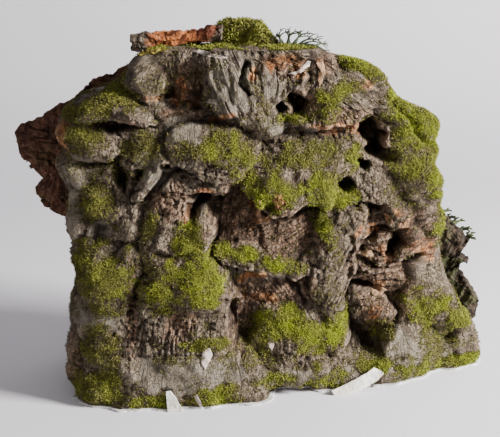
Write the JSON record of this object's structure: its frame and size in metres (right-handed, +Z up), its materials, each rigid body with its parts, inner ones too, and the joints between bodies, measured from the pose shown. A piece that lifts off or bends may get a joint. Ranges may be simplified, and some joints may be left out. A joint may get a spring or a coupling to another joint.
{
  "type": "cork bark slab",
  "caption": "Upright slab of rugged virgin cork bark with ledges, furrows and holes, partly covered in moss, standing on a flat cut foot.",
  "frame": {"origin": "middle of the bounding box, on the surface the slab stands on", "axes": "+Z up, +X along the slab to the right as its mossy face is seen, the face towards -Y"},
  "size_m": [0.314, 0.1368, 0.2245],
  "materials": {
    "bark": "rough, matte outer cork bark, grey-brown with warm brown hollows",
    "inner_bark": "matte dark reddish-brown cork",
    "dark_bark": "matte dark brown cork with green film",
    "roll": "matte orange-brown broken cork",
    "moss": "soft short moss, yellow-green to olive",
    "lichen": "matte dark grey-green lichen twigs",
    "sheet": "matte white torn layer",
    "chip": "matte off-white torn chips"
  },
  "bodies": {
    "root": {"bark_slab": "bark", "bark_piece_left": "inner_bark", "bark_piece_right": "dark_bark", "bark_roll": "roll", "moss_cushion": "moss", "lichen_tuft": "lichen", "foot_sheet": "sheet", "chip_left": "chip", "chip_right": "chip"}
  },
  "joints": []
}
